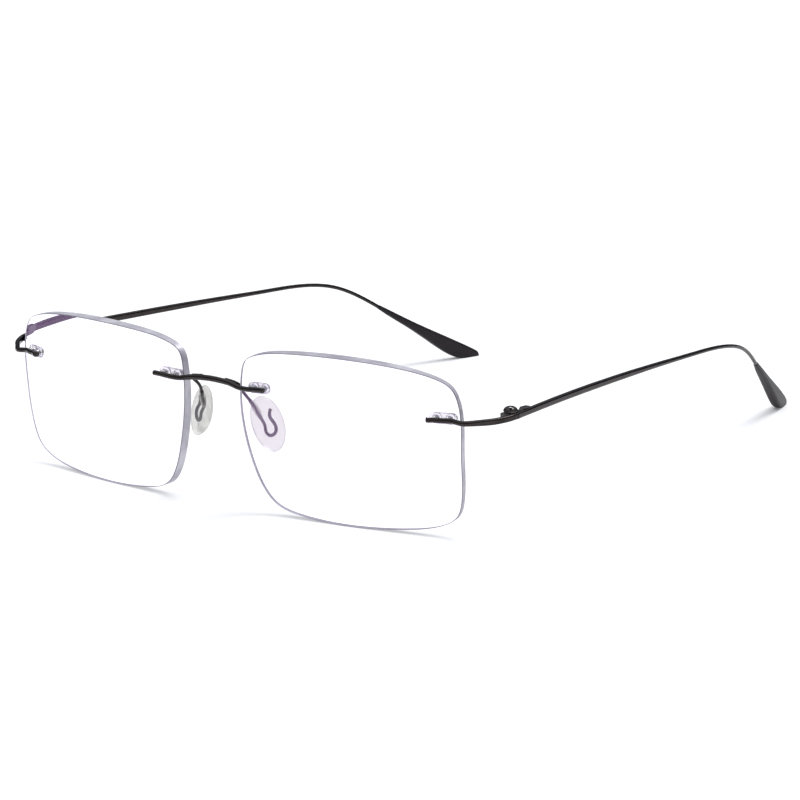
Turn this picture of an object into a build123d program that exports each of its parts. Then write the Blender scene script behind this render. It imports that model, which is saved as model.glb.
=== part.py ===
from build123d import *
import math
import os

# Rimless eyeglasses, millimetres.
# Frame: +X to the wearer's left, -Y the way the wearer looks, +Z up.
# Z = 0 is the table the open glasses stand on (lens bottoms and temple tips),
# X = 0 the plane of symmetry, and Y = 0 half-way along the whole length.
# "left" and "right" are the wearer's. The left half is modelled, the right mirrored.

os.makedirs("parts", exist_ok=True)

# ---------------------------------------------------------------- driving sizes
LENS_Y = -75.14          # Y of the lens vertices, behind which depths are measured

# lens
LENS_CX, LENS_CZ = 35.283, 18.600      # lens centre across and up
WRAP = 7.97                            # degrees, face-form angle
TILT = 4.42                            # degrees, pantoscopic tilt
BASE_R = 110.4                         # front surface radius
BACK_R = 217.7                         # back surface radius: a weak plus (reading) lens
BACK_DECENTRE = 2.24                   # back surface axis, towards the temple: optical centre to the nose
LENS_T = 3.50                          # thickness at the middle, thinning to 1.6-2.7 at the edge
LENS_BEVEL = 0.14                      # safety bevel on both edges
HOLE_R = 0.75                          # drilled lens holes
PIN_PITCH = 2.94                       # pin spacing of every two-pin mount
# outline in the lens's own plane: +u to the temple, +v up, 54.5 x 37.3 box
OUTLINE = [
    (27.13, 0.0), (26.89, 10.02), (25.19, 13.91), (21.25, 16.02), (14.02, 17.54),
    (0.56, 18.48), (-13.96, 18.02), (-22.44, 16.56), (-26.07, 14.43), (-26.98, 11.39),
    (-27.27, 5.81), (-25.03, -6.86), (-22.68, -12.54), (-19.8, -16.02), (-13.59, -17.98),
    (-0.75, -18.79), (13.27, -18.06), (21.0, -16.68), (25.01, -14.39), (26.54, -10.25),
]

# two-pin mounts on each lens: centre (u, v) and the bar's direction
NASAL_UV, NASAL_DIR = (-22.75, 9.12), (-1.0, -0.06)
TEMPORAL_UV, TEMPORAL_DIR = (23.05, 7.30), (1.0, -0.015)
BAR_R = 0.56                           # round bar where it lies on the lens
BAR_LIFT = 0.60                        # bar centre in front of the lens surface
PIN_R = 0.42
PIN_START = -0.38                      # along the pin, from the lens front surface
PIN_PROUD = 1.28                       # pin end behind the back of the lens
PLUG_FIT = 0.01                        # plug barrel to lens hole, and pin to plug

# clear sleeve ("plug") behind the lens
PLUG_L, PLUG_H, PLUG_PLATE = 6.1, 2.35, 0.55
PLUG_CAP_R, PLUG_CAP_H = 1.02, 0.55

# bridge
BRIDGE_MID_R = 0.64
ARM_R = 0.36                           # pad arm wire

# hinge, on the inner side of the end piece
HX, HY = 67.75, 16.20                  # screw axis: across, and behind the lens vertex
KNUCKLE_R = 1.05
LEAF_Z = (25.62, 27.12)                # bottom and top of the hinge block
MID_Z = (26.12, 26.62)                 # the temple's middle knuckle
SLOT_Z = (26.08, 26.66)                # the gap for it in the front leaf
SCREW_R, SCREW_CLEAR = 0.55, 0.05
HEAD_R, HEAD_H = 1.56, 0.98
WASHER_T = 0.16
BUTT_GAP = 0.03                        # each band end stands this far off the axis plane

# band (end piece and temple)
BAND_X, BAND_Z = 69.40, 26.42          # band centre at the hinge
BAND_W, BAND_H = 1.10, 1.36

# nose pad
PAD_C = (10.22, 7.55, 18.62)
PAD_LONG = (-0.371, -0.062, 0.927)
PAD_FACE = (-0.386, 0.918, -0.093)     # towards the nose
PAD_A, PAD_B, PAD_HALF = 6.05, 3.65, 0.76
SLEEVE_R = 0.80
CAVITY = 0.015


# ---------------------------------------------------------------- frames
def W(x, y, z):
    """A point from its distance across, its depth behind the lens vertices, and its height."""
    return Vector(x, y + LENS_Y, z)


_w, _t = math.radians(WRAP), math.radians(TILT)
U = Vector(math.cos(_w), math.sin(_w), 0)
BACK = Vector(-math.sin(_w) * math.cos(_t), math.cos(_w) * math.cos(_t), math.sin(_t))
V = U.cross(BACK)
LENS_C = W(LENS_CX, 0, LENS_CZ)
SPHERE_C = LENS_C + BACK * BASE_R
BACK_SPHERE_C = LENS_C + U * BACK_DECENTRE + BACK * (LENS_T + BACK_R)


def on_lens(u, v):
    """A point of the lens's front surface."""
    sag = BASE_R - math.sqrt(BASE_R**2 - u * u - v * v)
    return LENS_C + U * u + V * v + BACK * sag


def mount_plane(uv, direction):
    """Origin on the lens front between the two pins, x along the bar, z into the lens."""
    origin = on_lens(*uv)
    z = (SPHERE_C - origin).normalized()
    x = (U * direction[0] + V * direction[1]).normalized()
    x = (x - z * x.dot(z)).normalized()
    return Plane(origin=origin, x_dir=x, z_dir=z)


nasal = mount_plane(NASAL_UV, NASAL_DIR)
temporal = mount_plane(TEMPORAL_UV, TEMPORAL_DIR)
lens_plane = Plane(origin=LENS_C, x_dir=U, z_dir=BACK * -1)


def thickness_at(plane):
    """Lens thickness along a mount's z, from its origin to the back surface."""
    q = plane.origin - BACK_SPHERE_C
    b, c = q.dot(plane.z_dir), q.dot(q) - BACK_R**2
    return -b - math.sqrt(b * b - c)


NASAL_T, TEMPORAL_T = thickness_at(nasal), thickness_at(temporal)


def pin_spots(plane):
    return [plane.from_local_coords(Vector(s * PIN_PITCH / 2, 0, 0)) for s in (-1, 1)]


def section_plane(edge, t, up=Vector(0, 0, 1)):
    """Cross-section plane of a curve: x outward, z along the curve."""
    tangent = edge % t
    return Plane(origin=edge @ t, x_dir=tangent.cross(up).normalized(), z_dir=tangent)


# ---------------------------------------------------------------- lenses
with BuildPart() as lens_left:
    with BuildSketch(lens_plane.offset(-9)):
        with BuildLine():
            Spline(*OUTLINE, periodic=True)
        make_face()
    extrude(amount=12)
    # the poles of both spheres are kept off the lens
    with Locations(Plane(origin=SPHERE_C, x_dir=BACK, z_dir=V)):
        Sphere(BASE_R, mode=Mode.INTERSECT)
    with Locations(Plane(origin=BACK_SPHERE_C, x_dir=BACK, z_dir=V)):
        Sphere(BACK_R, mode=Mode.SUBTRACT)
    rims = [e for e in lens_left.edges() if e.length > 60]
    chamfer(rims, LENS_BEVEL)
    for plane in (nasal, temporal):
        with BuildSketch(plane.offset(-2)):
            with Locations((-PIN_PITCH / 2, 0), (PIN_PITCH / 2, 0)):
                Circle(HOLE_R)
        extrude(amount=7, mode=Mode.SUBTRACT)


# ---------------------------------------------------------------- lens pins and plugs
def pin_profile(lens_t):
    """Half section of a pin with gripping rings and a domed tip; r across, z along."""
    r, g, end = PIN_R, PIN_R - 0.07, lens_t + PIN_PROUD
    pts = [(0, PIN_START), (r, PIN_START), (r, 0.45)]
    z = 0.45
    for _ in range(5):
        pts += [(g, z + 0.08), (g, z + 0.16), (r, z + 0.40)]
        z += 0.40
    pts += [(r, end - 0.16), (r - 0.16, end), (0, end)]
    return pts


with BuildPart() as pins_nasal:
    for spot in pin_spots(nasal):
        with BuildSketch(Plane(origin=spot, x_dir=nasal.x_dir, z_dir=nasal.y_dir * -1)):
            with BuildLine():
                Polyline(*pin_profile(NASAL_T), close=True)
            make_face()
        revolve(axis=Axis(spot, nasal.z_dir))

with BuildPart() as endpiece_pins_left:
    for spot in pin_spots(temporal):
        with BuildSketch(Plane(origin=spot, x_dir=temporal.x_dir, z_dir=temporal.y_dir * -1)):
            with BuildLine():
                Polyline(*pin_profile(TEMPORAL_T), close=True)
            make_face()
        revolve(axis=Axis(spot, temporal.z_dir))

with BuildPart() as bridge_pins:
    add(pins_nasal.part)
    mirror(pins_nasal.part, about=Plane.YZ)


with BuildPart() as nasal_plug_left:
    # one plate against the back of the lens, two barrels through it, a cap over each barrel
    with BuildSketch(nasal.offset(NASAL_T - 0.9)):
        SlotOverall(PLUG_L, PLUG_H)
    extrude(amount=0.95 + PLUG_PLATE)
    with Locations(Plane(origin=BACK_SPHERE_C, x_dir=BACK, z_dir=V)):
        Sphere(BACK_R - 0.03, mode=Mode.INTERSECT)
    fillet(nasal_plug_left.faces().sort_by(Axis(nasal.origin, nasal.z_dir))[-1].edges(), 0.18)
    with BuildSketch(nasal.offset(0.22)):
        with Locations((-PIN_PITCH / 2, 0), (PIN_PITCH / 2, 0)):
            Circle(HOLE_R - PLUG_FIT)
    extrude(amount=NASAL_T + 0.08)
    with BuildSketch(nasal.offset(NASAL_T + 0.05 + PLUG_PLATE)):
        with Locations((-PIN_PITCH / 2, 0), (PIN_PITCH / 2, 0)):
            Circle(PLUG_CAP_R)
    extrude(amount=PLUG_CAP_H)
    fillet(nasal_plug_left.faces().sort_by(Axis(nasal.origin, nasal.z_dir))[-2:].edges(), 0.2)
    with BuildSketch(nasal.offset(-1)):
        with Locations((-PIN_PITCH / 2, 0), (PIN_PITCH / 2, 0)):
            Circle(PIN_R + PLUG_FIT)
    extrude(amount=7, mode=Mode.SUBTRACT)

with BuildPart() as temporal_plug_left:
    with BuildSketch(temporal.offset(TEMPORAL_T - 0.9)):
        SlotOverall(PLUG_L, PLUG_H)
    extrude(amount=0.95 + PLUG_PLATE)
    with Locations(Plane(origin=BACK_SPHERE_C, x_dir=BACK, z_dir=V)):
        Sphere(BACK_R - 0.03, mode=Mode.INTERSECT)
    fillet(temporal_plug_left.faces().sort_by(Axis(temporal.origin, temporal.z_dir))[-1].edges(), 0.18)
    with BuildSketch(temporal.offset(0.22)):
        with Locations((-PIN_PITCH / 2, 0), (PIN_PITCH / 2, 0)):
            Circle(HOLE_R - PLUG_FIT)
    extrude(amount=TEMPORAL_T + 0.08)
    with BuildSketch(temporal.offset(TEMPORAL_T + 0.05 + PLUG_PLATE)):
        with Locations((-PIN_PITCH / 2, 0), (PIN_PITCH / 2, 0)):
            Circle(PLUG_CAP_R)
    extrude(amount=PLUG_CAP_H)
    fillet(temporal_plug_left.faces().sort_by(Axis(temporal.origin, temporal.z_dir))[-2:].edges(), 0.2)
    with BuildSketch(temporal.offset(-1)):
        with Locations((-PIN_PITCH / 2, 0), (PIN_PITCH / 2, 0)):
            Circle(PIN_R + PLUG_FIT)
    extrude(amount=7, mode=Mode.SUBTRACT)


# ---------------------------------------------------------------- bridge
bar_end = nasal.from_local_coords(Vector(-3.15, 0, -BAR_LIFT))
bar_edge = nasal.from_local_coords(Vector(2.9, 0, -BAR_LIFT))
half = [W(7.55, -1.42, 27.92), W(6.0, -1.18, 28.22), W(3.0, -0.98, 28.52), W(0, -0.92, 28.62)]


def flip(p):
    return Vector(-p.X, p.Y, p.Z)


bridge_points = [bar_end, bar_end + (bar_edge - bar_end) * 0.5, bar_edge] + half
bridge_points += [flip(p) for p in reversed(bridge_points[:-1])]
with BuildLine() as bridge_line:
    Spline(*bridge_points)
bridge_edge = bridge_line.edges()[0]

with BuildPart() as bridge:
    for i in range(29):
        t = i / 28
        mid = max(0.0, 1 - abs(t - 0.5) / 0.27)
        with BuildSketch(section_plane(bridge_edge, t)):
            Circle(BAR_R + (BRIDGE_MID_R - BAR_R) * min(1.0, mid * 1.6))
    loft()
    ends = bridge.faces().sort_by(Axis.X)
    fillet(ends[0].edges() + ends[-1].edges(), 0.2)
    add(bridge_pins.part, mode=Mode.SUBTRACT)


# ---------------------------------------------------------------- nose pads and pad arms
pad_n = Vector(*PAD_FACE).normalized()
pad_l = Vector(*PAD_LONG)
pad_l = (pad_l - pad_n * pad_l.dot(pad_n)).normalized()
pad_plane = Plane(origin=W(*PAD_C), x_dir=pad_l, z_dir=pad_n)


def in_pad(s, t, n):
    """A point from its place along and across the pad and towards the nose."""
    b = pad_n.cross(pad_l)
    if b.X < 0:
        b = b * -1
    return W(*PAD_C) + pad_l * s + b * t + pad_n * n


# the wire is brazed along the back of the bridge, drops behind the lens's nasal
# edge, and ends as a question-mark hook moulded into the pad
arm_points = [
    W(3.3, -0.02, 28.72), W(4.9, -0.12, 28.58), W(6.15, -0.02, 28.34), W(6.84, 0.95, 27.50),
    W(6.92, 2.35, 26.40), W(7.08, 3.62, 25.15), W(7.62, 4.68, 23.75),
    W(8.32, 5.82, 21.85), W(8.92, 6.86, 19.78), in_pad(-0.3, -0.62, -0.32),
    in_pad(-1.6, -0.82, -0.27), in_pad(-2.45, -0.22, -0.25), in_pad(-2.5, 0.62, -0.25),
    in_pad(-1.85, 1.42, -0.25), in_pad(-0.8, 1.62, -0.25), in_pad(0.3, 1.32, -0.25),
    in_pad(1.36, 1.10, -0.25), in_pad(2.05, 1.35, -0.25), in_pad(2.65, 1.82, -0.25),
]
with BuildLine() as arm_line:
    Spline(*arm_points)
arm_edge = arm_line.edges()[0]

with BuildPart() as pad_arm_left:
    with BuildSketch(Plane(origin=arm_edge @ 0, z_dir=arm_edge % 0)):
        Circle(ARM_R)
    sweep(path=arm_edge, transition=Transition.ROUND)
    add(bridge.part, mode=Mode.SUBTRACT)

with BuildPart() as arm_cavity:
    with BuildSketch(Plane(origin=arm_edge @ 0, z_dir=arm_edge % 0)):
        Circle(ARM_R + CAVITY)
    sweep(path=arm_edge, transition=Transition.ROUND)

with BuildLine() as sleeve_line:
    Spline(*arm_points[6:10])
sleeve_edge = sleeve_line.edges()[0]

with BuildPart() as nose_pad_left:
    with BuildSketch(pad_plane.offset(-PAD_HALF)):
        Ellipse(PAD_A, PAD_B)
    extrude(amount=2 * PAD_HALF + 0.6)
    # crowned towards the nose
    with Locations(Plane(origin=W(*PAD_C) - pad_n * (24 - PAD_HALF - 0.5), x_dir=pad_n, z_dir=pad_l)):
        Sphere(24, mode=Mode.INTERSECT)
    fillet(nose_pad_left.edges().filter_by(lambda e: e.length > 20), 0.55)
    with BuildSketch(Plane(origin=sleeve_edge @ 0, z_dir=sleeve_edge % 0)):
        Circle(SLEEVE_R)
    sweep(path=sleeve_edge, transition=Transition.ROUND)
    add(arm_cavity.part, mode=Mode.SUBTRACT)


# ---------------------------------------------------------------- end pieces
ep_in = temporal.from_local_coords(Vector(-3.10, 0, -BAR_LIFT))
ep_out = temporal.from_local_coords(Vector(2.95, 0, -BAR_LIFT))
ep_points = [
    ep_in, ep_in + (ep_out - ep_in) * 0.5, ep_out,
    W(62.35, 5.75, 25.88), W(64.85, 7.75, 25.84), W(67.10, 10.20, 25.96),
    W(68.65, 12.85, 26.18), W(BAND_X, HY - BUTT_GAP, BAND_Z),
]
with BuildLine() as ep_line:
    Spline(*ep_points, tangents=[(ep_out - ep_in).normalized(), Vector(0.03, 1, 0.02)])
ep_edge = ep_line.edges()[0]

with BuildPart() as endpiece_left:
    for i in range(15):
        t = i / 14
        k = min(1.0, max(0.0, (t - 0.32) / 0.40))
        k = k * k * (3 - 2 * k)
        w = 2 * BAR_R + (BAND_W - 2 * BAR_R) * k
        h = 2 * BAR_R + (BAND_H - 2 * BAR_R) * k
        with BuildSketch(section_plane(ep_edge, t)):
            RectangleRounded(w, h, 0.53 - 0.17 * k)
    loft()
    add(endpiece_pins_left.part, mode=Mode.SUBTRACT)


# ---------------------------------------------------------------- temples
temple_points = [
    W(BAND_X, HY + BUTT_GAP, BAND_Z), W(67.55, 31.0, 26.42), W(65.80, 45.98, 26.22),
    W(64.22, 60.9, 25.88), W(62.78, 75.82, 25.43), W(61.45, 91.0, 24.84),
    W(60.32, 104.6, 24.04), W(58.73, 115.26, 21.67), W(56.76, 122.18, 18.18),
    W(54.40, 128.56, 13.95), W(50.22, 139.84, 6.74), W(45.62, 152.20, -0.80),
]
with BuildLine() as temple_line:
    Spline(*temple_points)
temple_edge = temple_line.edges()[0]
TEMPLE_LEN = temple_edge.length
NECK = 113.0 / TEMPLE_LEN              # where the tip sleeve starts
CORE_END = 131.0 / TEMPLE_LEN          # where the wire ends inside the tip


def temple_section(t):
    """Width across, height and corner radius of the bare temple at t."""
    L = t * TEMPLE_LEN
    table = [
        (0, BAND_W, BAND_H, 0.36), (10, 1.12, 1.50, 0.40), (28, 1.12, 1.54, 0.42),
        (46, 1.10, 1.40, 0.42), (58, 1.06, 1.18, 0.42), (70, 1.00, 1.00, 0.42),
        (88, 0.92, 0.88, 0.41), (103, 0.88, 0.86, 0.40), (113, 0.88, 0.88, 0.41),
        (131, 0.74, 0.74, 0.35), (200, 0.74, 0.74, 0.35),
    ]
    for (l0, *a), (l1, *b) in zip(table, table[1:]):
        if L <= l1:
            k = (L - l0) / (l1 - l0)
            return [p + (q - p) * k for p, q in zip(a, b)]


with BuildPart() as temple_left:
    for i in range(23):
        t = CORE_END * i / 22
        w, h, r = temple_section(t)
        with BuildSketch(section_plane(temple_edge, t)):
            RectangleRounded(w, h, r)
    loft()

with BuildPart() as core_cavity:
    for i in range(10):
        t = NECK - 0.01 + (CORE_END + 0.001 - NECK + 0.01) * i / 9
        w, h, r = temple_section(t)
        with BuildSketch(section_plane(temple_edge, t)):
            RectangleRounded(w + 4 * CAVITY, h + 4 * CAVITY, r + 2 * CAVITY)
    loft()

# the tip: a flat-sided paddle, its upper edge straight, its lower edge bellied
TIP = [  # fraction of tip, thickness across, upper reach, lower reach
    (0.00, 1.02, 0.50, 0.50), (0.07, 1.36, 0.64, 0.62), (0.18, 1.80, 0.80, 0.74),
    (0.34, 2.12, 1.00, 0.96), (0.50, 2.30, 1.26, 1.42), (0.64, 2.36, 1.52, 1.90),
    (0.74, 2.34, 1.68, 2.10), (0.81, 2.28, 1.78, 1.98), (0.88, 2.16, 1.86, 1.54),
    (0.94, 2.00, 1.88, 1.18), (0.98, 1.80, 1.78, 0.92), (1.00, 1.50, 1.46, 0.72),
]
with BuildPart() as temple_tip_left:
    for f, thick, up, down in TIP:
        plane = section_plane(temple_edge, NECK + (1 - NECK) * f)
        # local y points down, so the section sits (down - up) / 2 below the wire
        shifted = Plane(
            origin=plane.origin + plane.y_dir * ((down - up) / 2),
            x_dir=plane.x_dir, z_dir=plane.z_dir,
        )
        with BuildSketch(shifted):
            RectangleRounded(thick, up + down, min(0.66, up * 0.75, thick / 2 - 0.05))
    loft()
    # flat where it rests on the table
    split(bisect_by=Plane.XY, keep=Keep.TOP)
    add(core_cavity.part, mode=Mode.SUBTRACT)


# ---------------------------------------------------------------- hinges
hinge_axis = Axis(W(HX, HY, 0), (0, 0, 1))
hinge = Plane(origin=W(HX, HY, 0), x_dir=(1, 0, 0), z_dir=(0, 0, 1))

with BuildPart() as hinge_front_leaf_left:
    # block brazed to the inside of the end piece
    with BuildSketch(hinge.offset(LEAF_Z[0])):
        with Locations((0.15, -1.70)):
            Rectangle(2.30, 1.10)
        with Locations((0.0, -0.60)):
            Rectangle(2 * KNUCKLE_R, 1.20)
        Circle(KNUCKLE_R)
    extrude(amount=LEAF_Z[1] - LEAF_Z[0])
    # slot for the middle knuckle
    with BuildSketch(hinge.offset(SLOT_Z[0])):
        with Locations((0, 0.0)):
            Rectangle(6, 2.30)
    extrude(amount=SLOT_Z[1] - SLOT_Z[0], mode=Mode.SUBTRACT)
    # clearance hole above, tight (tapped) hole below
    with BuildSketch(hinge.offset(SLOT_Z[0])):
        Circle(SCREW_R + SCREW_CLEAR)
    extrude(amount=4, mode=Mode.SUBTRACT)
    with BuildSketch(hinge.offset(LEAF_Z[0] - 1)):
        Circle(SCREW_R)
    extrude(amount=2.5, mode=Mode.SUBTRACT)
    add(endpiece_left.part, mode=Mode.SUBTRACT)

with BuildPart() as hinge_temple_leaf_left:
    # middle knuckle and its neck
    with BuildSketch(hinge.offset(MID_Z[0])):
        Circle(KNUCKLE_R)
        with Locations((0.10, 0.85)):
            Rectangle(1.90, 1.70)
    extrude(amount=MID_Z[1] - MID_Z[0])
    # plate brazed to the inside of the temple
    with BuildSketch(Plane(origin=W(67.72, 0, 0), x_dir=(0, 1, 0), z_dir=(1, 0, 0))):
        with BuildLine():
            Polyline(
                (HY + 1.17, 25.72), (HY + 4.4, 25.74), (HY + 5.4, 26.10), (HY + 5.8, 27.15),
                (HY + 5.4, 27.48), (HY + 3.3, 27.56), (HY + 2.85, 27.04), (HY + 1.17, 27.02), close=True,
            )
        make_face()
    extrude(amount=1.12)
    with BuildSketch(hinge.offset(MID_Z[0] - 1)):
        Circle(SCREW_R + SCREW_CLEAR)
    extrude(amount=4, mode=Mode.SUBTRACT)
    add(temple_left.part, mode=Mode.SUBTRACT)

with BuildPart() as hinge_washer_left:
    with BuildSketch(hinge.offset(LEAF_Z[1])):
        Circle(1.34)
        Circle(SCREW_R + SCREW_CLEAR, mode=Mode.SUBTRACT)
    extrude(amount=WASHER_T)

head_z = LEAF_Z[1] + WASHER_T
with BuildPart() as hinge_screw_left:
    with BuildSketch(Plane(origin=W(HX, HY, 0), x_dir=(1, 0, 0), z_dir=(0, -1, 0))):
        with BuildLine():
            Polyline(
                (0, LEAF_Z[0] - 0.34), (SCREW_R - 0.14, LEAF_Z[0] - 0.34), (SCREW_R, LEAF_Z[0] - 0.20),
                (SCREW_R, head_z), (HEAD_R, head_z), (HEAD_R, head_z + 0.22),
            )
            ThreePointArc((HEAD_R, head_z + 0.22), (HEAD_R * 0.76, head_z + 0.73), (0, head_z + HEAD_H))
            Line((0, head_z + HEAD_H), (0, LEAF_Z[0] - 0.34))
        make_face()
    revolve(axis=hinge_axis)
    # driver slot
    with BuildSketch(Plane(origin=W(HX, HY, head_z + HEAD_H), x_dir=(-0.62, 0.785, 0), z_dir=(0, 0, 1))):
        Rectangle(4, 0.50)
    extrude(amount=-0.62, mode=Mode.SUBTRACT)


# ---------------------------------------------------------------- right-hand pieces
with BuildPart() as lens_right:
    mirror(lens_left.part, about=Plane.YZ)
with BuildPart() as nasal_plug_right:
    mirror(nasal_plug_left.part, about=Plane.YZ)
with BuildPart() as temporal_plug_right:
    mirror(temporal_plug_left.part, about=Plane.YZ)
with BuildPart() as endpiece_pins_right:
    mirror(endpiece_pins_left.part, about=Plane.YZ)
with BuildPart() as pad_arm_right:
    mirror(pad_arm_left.part, about=Plane.YZ)
with BuildPart() as nose_pad_right:
    mirror(nose_pad_left.part, about=Plane.YZ)
with BuildPart() as endpiece_right:
    mirror(endpiece_left.part, about=Plane.YZ)
with BuildPart() as temple_right:
    mirror(temple_left.part, about=Plane.YZ)
with BuildPart() as temple_tip_right:
    mirror(temple_tip_left.part, about=Plane.YZ)
with BuildPart() as hinge_front_leaf_right:
    mirror(hinge_front_leaf_left.part, about=Plane.YZ)
with BuildPart() as hinge_temple_leaf_right:
    mirror(hinge_temple_leaf_left.part, about=Plane.YZ)
with BuildPart() as hinge_washer_right:
    mirror(hinge_washer_left.part, about=Plane.YZ)
with BuildPart() as hinge_screw_right:
    mirror(hinge_screw_left.part, about=Plane.YZ)


# ---------------------------------------------------------------- labels and files
lens_left.part.label = "lens_left"
lens_right.part.label = "lens_right"
bridge.part.label = "bridge"
bridge_pins.part.label = "bridge_pins"
nasal_plug_left.part.label = "nasal_plug_left"
nasal_plug_right.part.label = "nasal_plug_right"
temporal_plug_left.part.label = "temporal_plug_left"
temporal_plug_right.part.label = "temporal_plug_right"
endpiece_pins_left.part.label = "endpiece_pins_left"
endpiece_pins_right.part.label = "endpiece_pins_right"
pad_arm_left.part.label = "pad_arm_left"
pad_arm_right.part.label = "pad_arm_right"
nose_pad_left.part.label = "nose_pad_left"
nose_pad_right.part.label = "nose_pad_right"
endpiece_left.part.label = "endpiece_left"
endpiece_right.part.label = "endpiece_right"
hinge_front_leaf_left.part.label = "hinge_front_leaf_left"
hinge_front_leaf_right.part.label = "hinge_front_leaf_right"
hinge_temple_leaf_left.part.label = "hinge_temple_leaf_left"
hinge_temple_leaf_right.part.label = "hinge_temple_leaf_right"
hinge_washer_left.part.label = "hinge_washer_left"
hinge_washer_right.part.label = "hinge_washer_right"
hinge_screw_left.part.label = "hinge_screw_left"
hinge_screw_right.part.label = "hinge_screw_right"
temple_left.part.label = "temple_left"
temple_right.part.label = "temple_right"
temple_tip_left.part.label = "temple_tip_left"
temple_tip_right.part.label = "temple_tip_right"

for piece in (
    lens_left, lens_right, bridge, bridge_pins,
    nasal_plug_left, nasal_plug_right, temporal_plug_left, temporal_plug_right,
    endpiece_pins_left, endpiece_pins_right, pad_arm_left, pad_arm_right,
    nose_pad_left, nose_pad_right, endpiece_left, endpiece_right,
    hinge_front_leaf_left, hinge_front_leaf_right, hinge_temple_leaf_left, hinge_temple_leaf_right,
    hinge_washer_left, hinge_washer_right, hinge_screw_left, hinge_screw_right,
    temple_left, temple_right, temple_tip_left, temple_tip_right,
):
    export_step(piece.part, "parts/" + piece.part.label + ".step")
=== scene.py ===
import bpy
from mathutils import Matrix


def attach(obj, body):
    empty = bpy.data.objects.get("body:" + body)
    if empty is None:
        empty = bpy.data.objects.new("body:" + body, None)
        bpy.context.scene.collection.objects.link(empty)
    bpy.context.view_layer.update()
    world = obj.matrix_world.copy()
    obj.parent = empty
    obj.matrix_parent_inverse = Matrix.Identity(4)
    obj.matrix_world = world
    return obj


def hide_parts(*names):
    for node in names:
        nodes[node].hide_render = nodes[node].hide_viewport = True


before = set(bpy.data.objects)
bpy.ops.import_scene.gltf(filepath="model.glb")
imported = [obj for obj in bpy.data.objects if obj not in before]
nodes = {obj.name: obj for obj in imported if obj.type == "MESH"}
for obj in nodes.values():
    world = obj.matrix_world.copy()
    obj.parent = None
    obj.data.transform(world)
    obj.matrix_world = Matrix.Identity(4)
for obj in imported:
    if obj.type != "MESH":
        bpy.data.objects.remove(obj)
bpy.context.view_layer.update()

import math
import bpy
import bmesh
from mathutils import Vector, Matrix

scene = bpy.context.scene
scene.view_settings.view_transform = "Standard"
scene.view_settings.look = "None"

# ------------------------------------------------------------------ lens geometry, millimetres
LENS_Y = -75.14
LENS_CX, LENS_CZ = 35.283, 18.600
WRAP, TILT = math.radians(7.97), math.radians(4.42)
BASE_R, BACK_R, BACK_DECENTRE, LENS_T = 110.4, 217.7, 2.24, 3.50
BEVEL = 0.14
HOLE_R, PIN_PITCH = 0.75, 2.94
OUTLINE = [
    (27.13, 0.0), (26.89, 10.02), (25.19, 13.91), (21.25, 16.02), (14.02, 17.54),
    (0.56, 18.48), (-13.96, 18.02), (-22.44, 16.56), (-26.07, 14.43), (-26.98, 11.39),
    (-27.27, 5.81), (-25.03, -6.86), (-22.68, -12.54), (-19.8, -16.02), (-13.59, -17.98),
    (-0.75, -18.79), (13.27, -18.06), (21.0, -16.68), (25.01, -14.39), (26.54, -10.25),
]
NASAL_UV, NASAL_DIR = (-22.75, 9.12), (-1.0, -0.06)
TEMPORAL_UV, TEMPORAL_DIR = (23.05, 7.30), (1.0, -0.015)

U = Vector((math.cos(WRAP), math.sin(WRAP), 0))
BACK = Vector((-math.sin(WRAP) * math.cos(TILT), math.cos(WRAP) * math.cos(TILT), math.sin(TILT)))
V = U.cross(BACK)
if V.z < 0:
    V = -V
LENS_C = Vector((LENS_CX, LENS_Y, LENS_CZ))


# ------------------------------------------------------------------ node helpers
def new_mat(name):
    m = bpy.data.materials.new(name)
    m.use_nodes = True
    m.node_tree.nodes.clear()
    return m, m.node_tree


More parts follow.
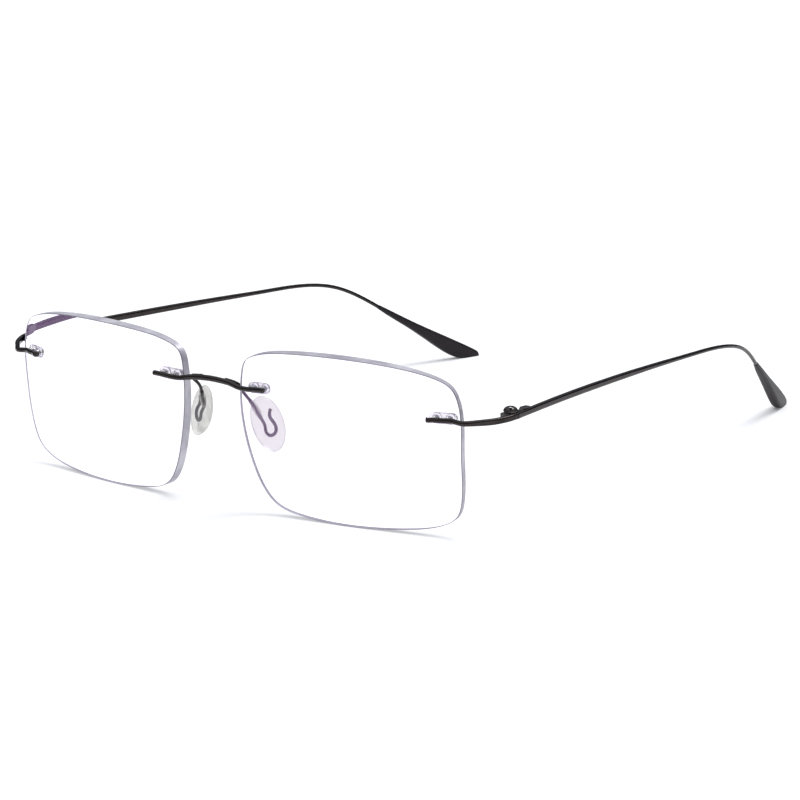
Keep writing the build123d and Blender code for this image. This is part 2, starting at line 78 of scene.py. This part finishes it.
class G:
    """Short hand for building a node tree."""

    def __init__(self, tree):
        self.t = tree

    def n(self, kind, **kw):
        node = self.t.nodes.new(kind)
        for k, v in kw.items():
            if k in node.inputs:
                self.put(node.inputs[k], v)
            else:
                setattr(node, k, v)
        return node

    def put(self, sock, v):
        if isinstance(v, bpy.types.NodeSocket):
            self.t.links.new(v, sock)
        else:
            sock.default_value = v

    def set(self, node, name, v):
        self.put(node.inputs[name], v)

    def math(self, op, a, b=None, c=None, clamp=False):
        node = self.t.nodes.new("ShaderNodeMath")
        node.operation = op
        node.use_clamp = clamp
        self.put(node.inputs[0], a)
        if b is not None:
            self.put(node.inputs[1], b)
        if c is not None:
            self.put(node.inputs[2], c)
        return node.outputs[0]

    def mixrgb(self, fac, a, b):
        node = self.t.nodes.new("ShaderNodeMix")
        node.data_type = "RGBA"
        self.put(node.inputs[0], fac)
        self.put(node.inputs[6], a)
        self.put(node.inputs[7], b)
        return node.outputs[2]

    def ramp(self, fac, stops):
        node = self.t.nodes.new("ShaderNodeValToRGB")
        self.put(node.inputs[0], fac)
        el = node.color_ramp.elements
        while len(el) < len(stops):
            el.new(0.5)
        for e, (p, c) in zip(el, stops):
            e.position = p
            e.color = c if len(c) == 4 else (*c, 1)
        return node.outputs[0]

    def noise(self, scale, detail=4, rough=0.5, vec=None, distort=0.0):
        node = self.t.nodes.new("ShaderNodeTexNoise")
        node.inputs["Scale"].default_value = scale
        node.inputs["Detail"].default_value = detail
        node.inputs["Roughness"].default_value = rough
        node.inputs["Distortion"].default_value = distort
        if vec is not None:
            self.put(node.inputs["Vector"], vec)
        return node.outputs[0]

    def coords(self):
        return self.t.nodes.new("ShaderNodeTexCoord").outputs["Object"]

    def out(self, shader):
        o = self.t.nodes.new("ShaderNodeOutputMaterial")
        self.t.links.new(shader, o.inputs["Surface"])

    def mix(self, fac, a, b):
        node = self.t.nodes.new("ShaderNodeMixShader")
        self.put(node.inputs[0], fac)
        self.t.links.new(a, node.inputs[1])
        self.t.links.new(b, node.inputs[2])
        return node.outputs[0]

    def add(self, a, b):
        node = self.t.nodes.new("ShaderNodeAddShader")
        self.t.links.new(a, node.inputs[0])
        self.t.links.new(b, node.inputs[1])
        return node.outputs[0]


def through(g, shader, tint):
    """The shader for camera and glossy rays, plain transparency for shadow and diffuse rays."""
    lp = g.n("ShaderNodeLightPath")
    fac = g.math("MAXIMUM", lp.outputs["Is Shadow Ray"], lp.outputs["Is Diffuse Ray"])
    tr = g.n("ShaderNodeBsdfTransparent")
    g.set(tr, "Color", tint)
    return g.mix(fac, shader, tr.outputs[0])


def metal(name, dark, light, rough, coat, metallic=0.9, scale=900):
    m, t = new_mat(name)
    g = G(t)
    co = g.coords()
    fine = g.noise(scale * 6, 3, 0.6, co)
    broad = g.noise(scale * 0.5, 4, 0.55, co, 0.4)
    col = g.ramp(broad, [(0.3, dark), (0.7, light)])
    r = g.math("MULTIPLY_ADD", fine, 0.16, rough - 0.08)
    bump = g.n("ShaderNodeBump")
    g.set(bump, "Strength", 0.06)
    g.set(bump, "Distance", 0.00004)
    g.set(bump, "Height", fine)
    p = g.n("ShaderNodeBsdfPrincipled")
    g.set(p, "Base Color", col)
    g.set(p, "Metallic", metallic)
    g.set(p, "Roughness", r)
    g.set(p, "Coat Weight", coat)
    g.set(p, "Coat Roughness", 0.18)
    g.set(p, "Normal", bump.outputs[0])
    g.out(p.outputs[0])
    return m


def lens_mat(name, axis):
    """Clear glass with a faint purple anti-reflection veil; its ground edge is a pale lavender band."""
    m, t = new_mat(name)
    g = G(t)
    geo = g.n("ShaderNodeNewGeometry")
    dot = t.nodes.new("ShaderNodeVectorMath")
    dot.operation = "DOT_PRODUCT"
    g.put(dot.inputs[0], geo.outputs["True Normal"])
    dot.inputs[1].default_value = axis
    edge = g.math("LESS_THAN", g.math("ABSOLUTE", dot.outputs["Value"]), 0.86)

    refr = g.n("ShaderNodeBsdfRefraction")
    g.set(refr, "Color", (0.985, 0.985, 0.992, 1))
    g.set(refr, "Roughness", 0.0)
    g.set(refr, "IOR", 1.53)
    co = g.coords()
    patch = g.noise(40, 2, 0.4, co)
    veil = g.n("ShaderNodeBsdfGlossy")
    g.set(veil, "Color", g.mixrgb(patch, (0.046, 0.028, 0.056, 1), (0.058, 0.036, 0.070, 1)))
    g.set(veil, "Roughness", 0.02)
    # a steep ray trapped by the far face leaves straight on, so the lens stays clear from every side
    fres = g.n("ShaderNodeFresnel")
    g.set(fres, "IOR", 1.53)
    trapped = g.math("MULTIPLY", geo.outputs["Backfacing"], g.math("GREATER_THAN", fres.outputs[0], 0.98))
    slant = t.nodes.new("ShaderNodeVectorMath")
    slant.operation = "DOT_PRODUCT"
    g.put(slant.inputs[0], geo.outputs["Normal"])
    g.put(slant.inputs[1], geo.outputs["Incoming"])
    trapped = g.math("MAXIMUM", trapped, g.math("LESS_THAN", g.math("ABSOLUTE", slant.outputs["Value"]), 0.34))
    straight = g.n("ShaderNodeBsdfTransparent")
    g.set(straight, "Color", (0.93, 0.925, 0.94, 1))
    body = g.add(g.mix(trapped, refr.outputs[0], straight.outputs[0]), veil.outputs[0])

    wall = g.math("LESS_THAN", g.math("ABSOLUTE", dot.outputs["Value"]), 0.30)
    grain = g.noise(5200, 3, 0.6, co)
    band = g.noise(170, 3, 0.55, co, 0.6)
    tone = g.ramp(band, [(0.30, (0.27, 0.258, 0.30)), (0.50, (0.47, 0.455, 0.505)), (0.70, (0.74, 0.73, 0.77))])
    col = g.mixrgb(wall, (0.17, 0.165, 0.19, 1), tone)
    d = g.n("ShaderNodeBsdfDiffuse")
    g.set(d, "Color", col)
    tl = g.n("ShaderNodeBsdfTranslucent")
    g.set(tl, "Color", g.mixrgb(wall, (0.22, 0.21, 0.25, 1), g.mixrgb(grain, (0.50, 0.49, 0.56, 1), (0.72, 0.71, 0.78, 1))))
    gl = g.n("ShaderNodeBsdfGlossy")
    g.set(gl, "Color", (0.62, 0.61, 0.66, 1))
    g.set(gl, "Roughness", 0.30)
    frost = g.mix(0.20, g.mix(0.42, d.outputs[0], tl.outputs[0]), gl.outputs[0])

    tint = g.mixrgb(edge, (0.96, 0.96, 0.96, 1), (0.38, 0.38, 0.39, 1))
    g.out(through(g, g.mix(edge, body, frost), tint))
    return m


def clear_plastic(name, base, rough, ior, veil, rim, haze_and_rim_shade, tint, scale=1500, bump_s=0.15, trans=1.0):
    m, t = new_mat(name)
    g = G(t)
    co = g.coords()
    n1 = g.noise(scale, 4, 0.5, co)
    col = g.mixrgb(n1, tuple(c * 0.95 for c in base[:3]) + (1,), base)
    bump = g.n("ShaderNodeBump")
    g.set(bump, "Strength", bump_s)
    g.set(bump, "Distance", 0.00006)
    g.set(bump, "Height", n1)
    p = g.n("ShaderNodeBsdfPrincipled")
    g.set(p, "Base Color", col)
    g.set(p, "Roughness", g.math("MULTIPLY_ADD", n1, 0.08, rough - 0.04))
    g.set(p, "IOR", ior)
    g.set(p, "Transmission Weight", trans)
    g.set(p, "Normal", bump.outputs[0])
    # painted shade: a grey diffuse layer is mixed in more strongly towards the silhouette, with the rim weight and
    # the darker rim colour, standing in for the dark edge that refraction gives; the small uniform base amount is
    # the plastic's own milkiness
    lw = g.n("ShaderNodeLayerWeight")
    g.set(lw, "Blend", 0.35)
    v = g.n("ShaderNodeBsdfDiffuse")
    g.set(v, "Color", g.mixrgb(lw.outputs["Facing"], haze_and_rim_shade[0], haze_and_rim_shade[1]))
    fac = g.math("MULTIPLY_ADD", lw.outputs["Facing"], rim, veil, clamp=True)
    g.out(through(g, g.mix(fac, p.outputs[0], v.outputs[0]), tint))
    return m


def pad_mat(name):
    """Clear silicone: the wire shows through it; painted shade greys and darkens its rim in place of the dark edge
    refraction gives; small flecks and a soft shine.
    """
    m, t = new_mat(name)
    g = G(t)
    co = g.coords()
    cloud = g.noise(420, 4, 0.55, co, 0.5)
    fine = g.noise(2600, 3, 0.5, co)
    bump = g.n("ShaderNodeBump")
    g.set(bump, "Strength", 0.12)
    g.set(bump, "Distance", 0.00006)
    g.set(bump, "Height", cloud)
    lw = g.n("ShaderNodeLayerWeight")
    g.set(lw, "Blend", 0.42)
    g.set(lw, "Normal", bump.outputs[0])
    # painted shade: this mask grows towards the pad's silhouette and darkens both the see-through colour and the
    # diffuse colour below, standing in for the dark edge that refraction gives
    rim = g.math("POWER", lw.outputs["Facing"], 5.0)
    clear = g.n("ShaderNodeBsdfTransparent")
    g.set(clear, "Color", g.mixrgb(rim, (0.852, 0.850, 0.822, 1), (0.34, 0.33, 0.33, 1)))
    milk_and_rim_shade = g.n("ShaderNodeBsdfDiffuse")
    g.set(milk_and_rim_shade, "Color", g.mixrgb(rim, (0.74, 0.72, 0.72, 1), (0.30, 0.285, 0.295, 1)))
    g.set(milk_and_rim_shade, "Normal", bump.outputs[0])
    # the diffuse share is painted rim shade (the rim term) plus the pad's own faint flecks (the fine noise)
    haze_and_rim_shade = g.math("MULTIPLY_ADD", rim, 0.42, g.math("MULTIPLY_ADD", fine, 0.10, 0.03), clamp=True)
    body = g.mix(haze_and_rim_shade, clear.outputs[0], milk_and_rim_shade.outputs[0])
    shine = g.n("ShaderNodeBsdfGlossy")
    g.set(shine, "Color", (0.9, 0.9, 0.9, 1))
    g.set(shine, "Roughness", 0.16)
    g.set(shine, "Normal", bump.outputs[0])
    fr = g.n("ShaderNodeFresnel")
    g.set(fr, "IOR", 1.41)
    g.out(through(g, g.mix(g.math("MINIMUM", fr.outputs[0], 0.35), body, shine.outputs[0]), (0.80, 0.79, 0.80, 1)))
    return m


def tip_mat(name):
    m, t = new_mat(name)
    g = G(t)
    co = g.coords()
    grain = g.noise(3800, 3, 0.55, co)
    soft = g.noise(120, 3, 0.5, co, 0.3)
    col = g.ramp(soft, [(0.25, (0.011, 0.0085, 0.0105)), (0.75, (0.022, 0.017, 0.020))])
    bump = g.n("ShaderNodeBump")
    g.set(bump, "Strength", 0.08)
    g.set(bump, "Distance", 0.00005)
    g.set(bump, "Height", grain)
    p = g.n("ShaderNodeBsdfPrincipled")
    g.set(p, "Base Color", col)
    g.set(p, "Roughness", g.math("MULTIPLY_ADD", grain, 0.12, 0.36))
    g.set(p, "Specular IOR Level", 0.20)
    g.set(p, "Coat Weight", 0.0)
    g.set(p, "Coat Roughness", 0.25)
    g.set(p, "Normal", bump.outputs[0])
    g.out(p.outputs[0])
    return m


GUN = metal("gunmetal", (0.034, 0.029, 0.028), (0.054, 0.047, 0.045), 0.21, 0.0, 1.0)
GUN_WIRE = metal("gunmetal_wire", (0.024, 0.021, 0.022), (0.042, 0.037, 0.038), 0.26, 0.0, 1.0)
HINGE = metal("hinge_steel", (0.055, 0.052, 0.052), (0.11, 0.106, 0.105), 0.30, 0.0, 1.0)
SCREW = metal("screw_steel", (0.026, 0.024, 0.023), (0.060, 0.056, 0.054), 0.16, 0.0, 1.0)
WASHER = metal("washer_steel", (0.36, 0.35, 0.35), (0.55, 0.54, 0.53), 0.30, 0.0, 1.0)
PIN = metal("pin_steel", (0.03, 0.028, 0.036), (0.07, 0.064, 0.08), 0.35, 0.0)
TIP = tip_mat("tip_plastic")
# the plug's rim weight 0.34 and its grey rim colour (0.34, 0.33, 0.35) paint shade at its silhouette; the pale
# first colour is its milky tone
PLUG = clear_plastic("plug_plastic", (0.95, 0.945, 0.95, 1), 0.06, 1.47, 0.08, 0.34,
                     ((0.80, 0.79, 0.80, 1), (0.34, 0.33, 0.35, 1)), (0.80, 0.79, 0.80, 1))
PAD = pad_mat("pad_silicone")
LENS = {1: lens_mat("lens_glass_left", BACK),
        -1: lens_mat("lens_glass_right", Vector((-BACK.x, BACK.y, BACK.z)))}


# ------------------------------------------------------------------ lenses
def periodic_spline(pts, count):
    """Evenly sampled closed cubic curve through the points (chord-length knots)."""
    import numpy as np
    P = np.array(pts, float)
    n = len(P)
    h = np.linalg.norm(np.roll(P, -1, axis=0) - P, axis=1)
    A = np.zeros((n, n))
    rhs = np.zeros((n, 2))
    for i in range(n):
        hp, hn = h[i - 1], h[i]
        A[i, (i - 1) % n] += hp
        A[i, i] += 2 * (hp + hn)
        A[i, (i + 1) % n] += hn
        rhs[i] = 6 * ((P[(i + 1) % n] - P[i]) / hn - (P[i] - P[i - 1]) / hp)
    M = np.linalg.solve(A, rhs)
    knots = np.concatenate([[0], np.cumsum(h)])
    fine = np.linspace(0, knots[-1], count * 8, endpoint=False)

    def at(s):
        i = int(np.searchsorted(knots, s, side="right") - 1)
        i = min(max(i, 0), n - 1)
        j = (i + 1) % n
        a, b, hh = knots[i + 1] - s, s - knots[i], h[i]
        return (M[i] * a**3 + M[j] * b**3) / (6 * hh) + (P[i] / hh - M[i] * hh / 6) * a + (P[j] / hh - M[j] * hh / 6) * b

    F = np.array([at(s) for s in fine])
    d = np.concatenate([[0], np.cumsum(np.linalg.norm(np.roll(F, -1, axis=0) - F, axis=1))])
    out = []
    for k in range(count):
        s = d[-1] * k / count
        i = min(int(np.searchsorted(d, s, side="right") - 1), len(F) - 1)
        f = (s - d[i]) / (d[i + 1] - d[i])
        q = F[i] * (1 - f) + F[(i + 1) % len(F)] * f
        out.append((float(q[0]), float(q[1])))
    return out


def front_w(u, v):
    return BASE_R - math.sqrt(BASE_R**2 - u * u - v * v)


def back_w(u, v):
    return LENS_T + BACK_R - math.sqrt(BACK_R**2 - (u - BACK_DECENTRE) ** 2 - v * v)


def lens_point(u, v, w):
    return (LENS_C + U * u + V * v + BACK * w) * 0.001


def mount_axis(uv):
    o = LENS_C + U * uv[0] + V * uv[1] + BACK * front_w(*uv)
    z = (LENS_C + BACK * BASE_R - o).normalized()
    return o, z


def build_lens(side, name):
    count, rings = 320, 26
    outline = periodic_spline(OUTLINE, count)
    # inset outline for the bevel
    inset = []
    for i in range(count):
        a, b = outline[i - 1], outline[(i + 1) % count]
        t = Vector((b[0] - a[0], b[1] - a[1])).normalized()
        nrm = Vector((t.y, -t.x))
        p = Vector(outline[i])
        if nrm.dot(p) > 0:
            nrm = -nrm
        q = p + nrm * BEVEL
        inset.append((q.x, q.y))
    bm = bmesh.new()

    def ring(pts, wf):
        return [bm.verts.new(lens_point(u, v, wf(u, v))) for u, v in pts]

    def skin(wf):
        centre = bm.verts.new(lens_point(0, 0, wf(0, 0)))
        loops = []
        for k in range(1, rings + 1):
            s = k / rings
            loops.append(ring([(u * s, v * s) for u, v in inset], wf))
        return centre, loops

    def join(a, b):
        for i in range(count):
            bm.faces.new((a[i], a[(i + 1) % count], b[(i + 1) % count], b[i]))

    fc, fl = skin(front_w)
    bc, bl = skin(back_w)
    for centre, loops in ((fc, fl), (bc, bl)):
        for i in range(count):
            bm.faces.new((centre, loops[0][i], loops[0][(i + 1) % count]))
        for a, b in zip(loops, loops[1:]):
            join(a, b)
    wf = ring(outline, lambda u, v: front_w(u, v) + BEVEL)
    wb = ring(outline, lambda u, v: back_w(u, v) - BEVEL)
    join(fl[-1], wf)
    join(wf, wb)
    join(wb, bl[-1])
    if side < 0:
        for v in bm.verts:
            v.co.x = -v.co.x
    bmesh.ops.recalc_face_normals(bm, faces=bm.faces)
    me = bpy.data.meshes.new(name)
    bm.to_mesh(me)
    bm.free()
    ob = bpy.data.objects.new(name, me)
    scene.collection.objects.link(ob)
    # drilled holes
    cut = bmesh.new()
    for uv, dirn in ((NASAL_UV, NASAL_DIR), (TEMPORAL_UV, TEMPORAL_DIR)):
        o, z = mount_axis(uv)
        x = (U * dirn[0] + V * dirn[1]).normalized()
        x = (x - z * x.dot(z)).normalized()
        y = z.cross(x)
        for s in (-1, 1):
            c = o + x * (s * PIN_PITCH / 2) + z * 1.2
            m = Matrix((( x.x, y.x, z.x, c.x), (x.y, y.y, z.y, c.y), (x.z, y.z, z.z, c.z), (0, 0, 0, 1)))
            got = bmesh.ops.create_cone(cut, cap_ends=True, segments=40, radius1=HOLE_R, radius2=HOLE_R, depth=7)
            bmesh.ops.transform(cut, matrix=Matrix.Scale(0.001, 4) @ m, verts=got["verts"])
    if side < 0:
        for v in cut.verts:
            v.co.x = -v.co.x
    bmesh.ops.recalc_face_normals(cut, faces=cut.faces)
    cme = bpy.data.meshes.new(name + "_holes")
    cut.to_mesh(cme)
    cut.free()
    cob = bpy.data.objects.new(name + "_holes", cme)
    scene.collection.objects.link(cob)
    mod = ob.modifiers.new("holes", "BOOLEAN")
    mod.operation = "DIFFERENCE"
    mod.solver = "EXACT"
    mod.object = cob
    dg = bpy.context.evaluated_depsgraph_get()
    done = bpy.data.meshes.new_from_object(ob.evaluated_get(dg))
    ob.modifiers.clear()
    ob.data = done
    bpy.data.objects.remove(cob)
    for p in done.polygons:
        p.use_smooth = True
    done.set_sharp_from_angle(angle=math.radians(24))
    return ob


for side, tag in ((1, "left"), (-1, "right")):
    ob = build_lens(side, "clear_lens_" + tag)
    ob.data.materials.clear()
    ob.data.materials.append(LENS[side])
    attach(ob, "front")
    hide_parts("lens_" + tag)


# ------------------------------------------------------------------ nose pads
PAD_C = Vector((10.22, 7.55 + LENS_Y, 18.62))
PAD_N = Vector((-0.386, 0.918, -0.093)).normalized()
PAD_L = Vector((-0.371, -0.062, 0.927))
PAD_L = (PAD_L - PAD_N * PAD_L.dot(PAD_N)).normalized()
PAD_B = PAD_N.cross(PAD_L)
if PAD_B.x < 0:
    PAD_B = -PAD_B
PAD_HALF, PAD_LEN, PAD_WID = 0.76, 6.05, 3.65


def build_pad(side, name):
    """Oval pad: flat back with a raised rim line, round edge, crowned face with a shallow grip ring."""
    count = 96
    profile = []
    crown = 24.0
    for k in range(1, 9):
        profile.append((k / 9 * 0.86, -PAD_HALF))
    for k in range(0, 9):
        a = math.radians(-90 + 180 * k / 8)
        profile.append((0.86 + 0.14 * math.cos(a), math.sin(a)))
    for k in range(8, 0, -1):
        profile.append((k / 9 * 0.86, 2.0))
    bm = bmesh.new()

    loops = []
    for rr, h in profile:
        ring = []
        for i in range(count):
            th = 2 * math.pi * i / count
            s, b = rr * PAD_LEN * math.cos(th), rr * PAD_WID * math.sin(th)
            dist = math.hypot(s, b)
            top = math.sqrt(crown**2 - dist**2) - (crown - PAD_HALF - 0.5)
            if h == 2.0:
                n = top + 0.03 * math.sin(rr * 9.0)
            elif h == -PAD_HALF:
                n = -PAD_HALF + 0.02 * math.sin(rr * 7.0)
            else:
                mid, half = (top - PAD_HALF) / 2, (top + PAD_HALF) / 2
                n = mid + half * h
            ring.append(bm.verts.new((PAD_C + PAD_L * s + PAD_B * b + PAD_N * n) * 0.001))
        loops.append(ring)
    for a, b in zip(loops, loops[1:]):
        for i in range(count):
            bm.faces.new((a[i], a[(i + 1) % count], b[(i + 1) % count], b[i]))
    for ring, n in ((loops[0], -PAD_HALF), (loops[-1], PAD_HALF + 0.5)):
        c = bm.verts.new((PAD_C + PAD_N * n) * 0.001)
        for i in range(count):
            bm.faces.new((c, ring[i], ring[(i + 1) % count]))
    # the collar where the wire enters
    path = [Vector((7.62, 4.68 + LENS_Y, 23.75)), Vector((8.00, 5.28 + LENS_Y, 22.80)), Vector((8.32, 5.82 + LENS_Y, 21.85)),
            Vector((8.64, 6.38 + LENS_Y, 20.80)), Vector((8.92, 6.86 + LENS_Y, 19.78))]
    radii = [0.50, 0.66, 0.74, 0.70, 0.45]
    seg, prev = 20, None
    start = None
    for k, (p, rad) in enumerate(zip(path, radii)):
        t = (path[min(k + 1, 4)] - path[max(k - 1, 0)]).normalized()
        x = t.cross(PAD_N).normalized()
        y = t.cross(x)
        ring = [bm.verts.new((p + x * rad * math.cos(2 * math.pi * i / seg) + y * rad * math.sin(2 * math.pi * i / seg)) * 0.001) for i in range(seg)]
        if prev:
            for i in range(seg):
                bm.faces.new((prev[i], prev[(i + 1) % seg], ring[(i + 1) % seg], ring[i]))
        else:
            start = ring
        prev = ring
    bm.faces.new(start)
    bm.faces.new(prev)
    if side < 0:
        for v in bm.verts:
            v.co.x = -v.co.x
    bmesh.ops.recalc_face_normals(bm, faces=bm.faces)
    me = bpy.data.meshes.new(name)
    bm.to_mesh(me)
    bm.free()
    for p in me.polygons:
        p.use_smooth = True
    ob = bpy.data.objects.new(name, me)
    scene.collection.objects.link(ob)
    ob.data.materials.append(PAD)
    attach(ob, "front")
    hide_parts("nose_pad_left" if side > 0 else "nose_pad_right")
    return ob


build_pad(1, "soft_pad_left")
build_pad(-1, "soft_pad_right")

# ------------------------------------------------------------------ materials on the CAD nodes
def finish_for(n):
    if "pins" in n:
        return PIN
    if "plug" in n:
        return PLUG
    if n.startswith("nose_pad"):
        return PAD
    if n.startswith("temple_tip"):
        return TIP
    if "washer" in n:
        return WASHER
    if "screw" in n:
        return SCREW
    if "leaf" in n:
        return HINGE
    if n.startswith("pad_arm"):
        return GUN_WIRE
    return GUN


for n, o in nodes.items():
    if n.startswith("lens"):
        mat = LENS[1 if n.endswith("left") else -1]
    else:
        mat = finish_for(n)
    if len(o.data.materials):
        for i in range(len(o.data.materials)):
            o.data.materials[i] = mat
    else:
        o.data.materials.append(mat)
    if n.startswith("lens"):
        continue
    for p in o.data.polygons:
        p.use_smooth = True
    o.data.set_sharp_from_angle(angle=math.radians(32))
    if n.startswith(("bridge", "endpiece", "hinge", "temple_left", "temple_right")) and "pins" not in n:
        b = o.modifiers.new("edges", "BEVEL")
        b.width = 0.00007
        b.segments = 2
        b.limit_method = "ANGLE"
        b.angle_limit = math.radians(40)
        b.harden_normals = False

# ------------------------------------------------------------------ table, light, camera
def plane(name, size, loc, mat):
    bm = bmesh.new()
    bmesh.ops.create_grid(bm, x_segments=1, y_segments=1, size=size)
    me = bpy.data.meshes.new(name)
    bm.to_mesh(me)
    bm.free()
    ob = bpy.data.objects.new(name, me)
    ob.location = loc
    scene.collection.objects.link(ob)
    me.materials.append(mat)
    return ob


fm, ft = new_mat("paper")
fg = G(ft)
fd = fg.n("ShaderNodeBsdfDiffuse")
fgr = fg.noise(300, 4, 0.5, fg.coords())
fg.set(fd, "Color", fg.mixrgb(fgr, (0.90, 0.90, 0.905, 1), (0.93, 0.93, 0.935, 1)))
fe = fg.n("ShaderNodeEmission")
fg.set(fe, "Color", (1, 1, 1, 1))
fg.set(fe, "Strength", 0.14)
fg.out(fg.add(fd.outputs[0], fe.outputs[0]))
plane("table_top", 6.0, (0, 0, -0.00002), fm)

world = bpy.data.worlds.new("studio")
scene.world = world
world.use_nodes = True
wt = world.node_tree
wt.nodes.clear()
wg = G(wt)
tc = wt.nodes.new("ShaderNodeTexCoord").outputs["Generated"]
sep = wt.nodes.new("ShaderNodeSeparateXYZ")
wt.links.new(tc, sep.inputs[0])
sky = wg.ramp(sep.outputs["Z"], [(0.0, (0.03, 0.03, 0.032)), (0.30, (0.05, 0.05, 0.055)), (0.52, (0.52, 0.54, 0.60)), (0.72, (0.95, 0.97, 1.02)), (1.0, (1.05, 1.06, 1.08))])
lp = wt.nodes.new("ShaderNodeLightPath")
seen = wg.mixrgb(lp.outputs["Is Camera Ray"], sky, (1.3, 1.3, 1.3, 1))
bg = wt.nodes.new("ShaderNodeBackground")
wt.links.new(seen, bg.inputs["Color"])
bg.inputs["Strength"].default_value = 1.0
wo = wt.nodes.new("ShaderNodeOutputWorld")
wt.links.new(bg.outputs[0], wo.inputs["Surface"])


def area(name, loc, target, size, power, colour=(1, 1, 1)):
    li = bpy.data.lights.new(name, "AREA")
    li.shape = "RECTANGLE"
    li.size, li.size_y = size
    li.energy = power
    li.color = colour
    ob = bpy.data.objects.new(name, li)
    ob.location = loc
    d = Vector(target) - Vector(loc)
    ob.rotation_euler = d.to_track_quat("-Z", "Y").to_euler()
    scene.collection.objects.link(ob)
    return ob


sun = bpy.data.lights.new("overhead", "SUN")
sun.energy = 1.35
sun.angle = math.radians(26)
sun_ob = bpy.data.objects.new("overhead", sun)
sun_ob.rotation_euler = Vector((-0.16, -0.40, -1.0)).to_track_quat("-Z", "Y").to_euler()
scene.collection.objects.link(sun_ob)

# the camera, solved in the glasses' own frame before they were set level on the table
AZ, EL, ROLL = math.radians(38.4275), math.radians(12.8938), math.radians(-0.6597)
DIST, FPX = 988.08, 4611.78
back = Vector((math.sin(AZ) * math.cos(EL), -math.cos(AZ) * math.cos(EL), math.sin(EL)))
eye = Vector((35.165, 20.0, 24.593)) + back * DIST
r = Vector((math.cos(AZ), math.sin(AZ), 0))
f = -back
u = r.cross(f)
r2 = r * math.cos(ROLL) + u * math.sin(ROLL)
u2 = u * math.cos(ROLL) - r * math.sin(ROLL)
K = 0.003665


def level_dir(d):
    return Vector((d.x, d.y + K * d.z, d.z - K * d.y)).normalized()


def level_pos(p):
    return Vector((p.x, p.y + K * p.z, p.z - K * (p.y - 3.0)))


eye = (level_pos(eye) + Vector((0, LENS_Y, 0))) * 0.001
r2, u2, back = level_dir(r2), level_dir(u2), level_dir(back)
cam = bpy.data.cameras.new("camera")
cam.sensor_width = 36.0
cam.lens = FPX * 36.0 / 800.0
cam.clip_start, cam.clip_end = 0.05, 30.0
co = bpy.data.objects.new("camera", cam)
co.matrix_world = Matrix(((r2.x, u2.x, back.x, eye.x), (r2.y, u2.y, back.y, eye.y), (r2.z, u2.z, back.z, eye.z), (0, 0, 0, 1)))
scene.collection.objects.link(co)
scene.camera = co
